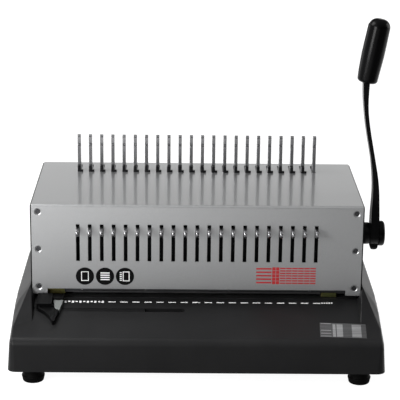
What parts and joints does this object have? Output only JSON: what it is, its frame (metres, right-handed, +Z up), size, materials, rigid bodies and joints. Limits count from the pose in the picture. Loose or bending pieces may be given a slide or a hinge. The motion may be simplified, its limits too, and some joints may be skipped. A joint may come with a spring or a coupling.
{
  "type": "comb binding machine",
  "caption": "Desk comb binding machine: side lever drives a punch ram and a ring-opening finger carriage in a silver cover on a black base.",
  "frame": {"origin": "on the desk surface under the middle of the machine's bounding box", "axes": "+X along the machine to the handle side on the operator's right, +Y from the operator to the back, +Z up"},
  "size_m": [0.4508, 0.309, 0.4105],
  "materials": {
    "silver_sheet": "satin silver paint on sheet steel",
    "base_plastic": "fine-grained charcoal moulding",
    "black_plastic": "black moulding",
    "grip_plastic": "semi-gloss black",
    "black_enamel": "semi-gloss black enamel",
    "plated_steel": "bright plated",
    "dark_hook_steel": "blackened steel with bright edges",
    "machined_steel": "ground",
    "yellow_zinc": "yellow-passivated zinc",
    "bush_bronze": "sintered bronze",
    "foot_rubber": "moulded rubber",
    "grey_stop": "grey moulding"
  },
  "bodies": {
    "frame": {"base_shell": "base_plastic", "base_plate": "machined_steel", "feet": "foot_rubber", "side_plate_left": "black_enamel", "side_plate_right": "black_enamel", "cover": "silver_sheet", "cover_screws": "plated_steel", "hook_strip": "machined_steel", "hooks": "dark_hook_steel", "die_plate": "machined_steel", "guide_plate": "machined_steel", "back_stop": "machined_steel", "end_bracket_left": "yellow_zinc", "end_bracket_right": "yellow_zinc", "guide_screws": "plated_steel", "guide_posts": "machined_steel", "return_springs": "machined_steel", "shaft_bush_left": "bush_bronze", "shaft_bush_right": "bush_bronze", "rail_guide_left": "black_plastic", "rail_guide_right": "black_plastic"},
    "handle": {"main_shaft": "machined_steel", "pinion_left": "machined_steel", "pinion_right": "machined_steel", "collar": "black_enamel", "lever": "black_enamel", "grip": "grip_plastic", "knob": "grip_plastic"},
    "ram": {"ram_bar": "machined_steel", "punches": "machined_steel", "lugs": "plated_steel", "ram_rack_left": "machined_steel", "ram_rack_right": "machined_steel"},
    "finger_carriage": {"finger_arm_left": "machined_steel", "finger_arm_right": "machined_steel", "finger_bar": "machined_steel", "fingers": "plated_steel"},
    "edge_guide_body": {"edge_guide": "black_plastic", "edge_facet": "grey_stop", "guide_slider": "black_plastic"},
    "chip_tray_body": {"chip_tray": "black_plastic"}
  },
  "joints": [
    {"name": "handle_turn", "type": "hinge", "parent": "frame", "child": "handle", "pos_m": [0.20135, 0.0015, 0.143], "axis": [1, 0, 0], "range_deg": [0, 80]},
    {"name": "ram_slide", "type": "slide", "parent": "frame", "child": "ram", "axis": [0, 0, -1], "range_m": [0, 0.01955], "stiffness_N_per_m": 2500, "springref_m": -0.025, "deforming": ["return_springs"]},
    {"name": "finger_slide", "type": "slide", "parent": "frame", "child": "finger_carriage", "axis": [0, 1, 0], "range_m": [0, 0.01955]},
    {"name": "edge_guide_slide", "type": "slide", "parent": "frame", "child": "edge_guide_body", "axis": [1, 0, 0], "range_m": [0, 0.044]},
    {"name": "tray_slide", "type": "slide", "parent": "frame", "child": "chip_tray_body", "axis": [0, 1, 0], "range_m": [0, 0.15]}
  ],
  "couplings": [
    {"joint": "ram_slide", "follows": "handle_turn", "m_per_rad": 0.014},
    {"joint": "finger_slide", "follows": "handle_turn", "m_per_rad": 0.014}
  ]
}
